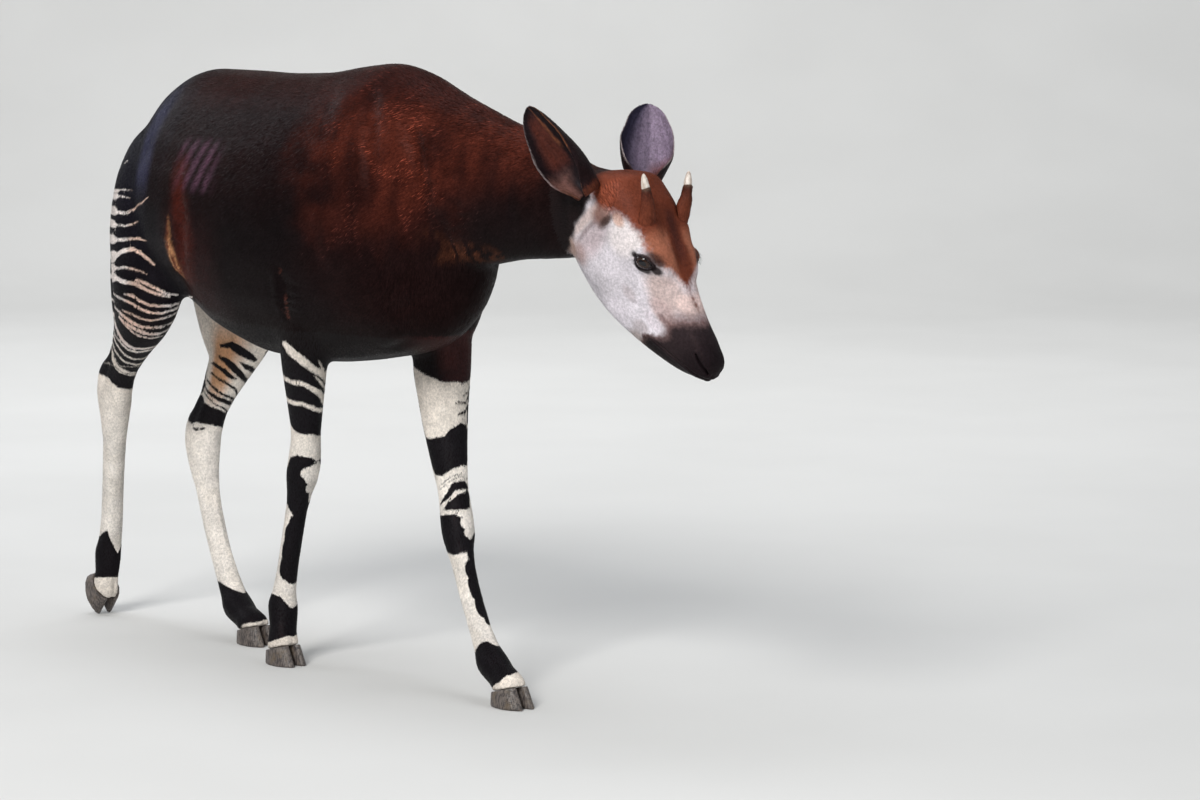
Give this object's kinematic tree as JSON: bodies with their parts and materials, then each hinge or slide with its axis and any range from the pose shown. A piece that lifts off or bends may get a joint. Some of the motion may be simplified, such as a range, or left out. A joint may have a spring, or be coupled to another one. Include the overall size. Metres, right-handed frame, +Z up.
{
  "type": "okapi, life-size still model",
  "caption": "Life-size still model of an okapi walking with its head lowered, glossy dark coat, striped haunches and legs, large ears and short horns.",
  "frame": {"origin": "on the floor, under the middle of the animal's box", "axes": "+X towards the head, +Y towards the animal's left, +Z up"},
  "size_m": [2.3856, 0.523, 1.5042],
  "materials": {
    "coat_dark": "short glossy hair, dark chocolate",
    "coat_face": "short hair, pale grey with a chestnut brow",
    "coat_ear": "thin short hair, dark red-brown",
    "coat_striped": "short hair, cream white with black bands and stripes",
    "hoof": "satin horn, grey-brown",
    "eye": "wet black",
    "ossicone_skin": "short hair, red-brown",
    "ossicone_bone": "bare worn bone"
  },
  "bodies": {
    "root": {"torso": "coat_dark", "neck": "coat_dark", "tail": "coat_dark", "head": "coat_face", "ear_right": "coat_ear", "ear_left": "coat_ear", "eye_right": "eye", "eye_left": "eye", "ossicone_right": "ossicone_skin", "ossicone_left": "ossicone_skin", "ossicone_right_tip": "ossicone_bone", "ossicone_left_tip": "ossicone_bone", "fore_right_upper": "coat_striped", "fore_right_lower": "coat_striped", "fore_right_claw_inner": "hoof", "fore_right_claw_outer": "hoof", "fore_left_upper": "coat_striped", "fore_left_lower": "coat_striped", "fore_left_claw_inner": "hoof", "fore_left_claw_outer": "hoof", "hind_right_upper": "coat_striped", "hind_right_lower": "coat_striped", "hind_right_claw_inner": "hoof", "hind_right_claw_outer": "hoof", "hind_left_upper": "coat_striped", "hind_left_lower": "coat_striped", "hind_left_claw_inner": "hoof", "hind_left_claw_outer": "hoof"}
  },
  "joints": []
}
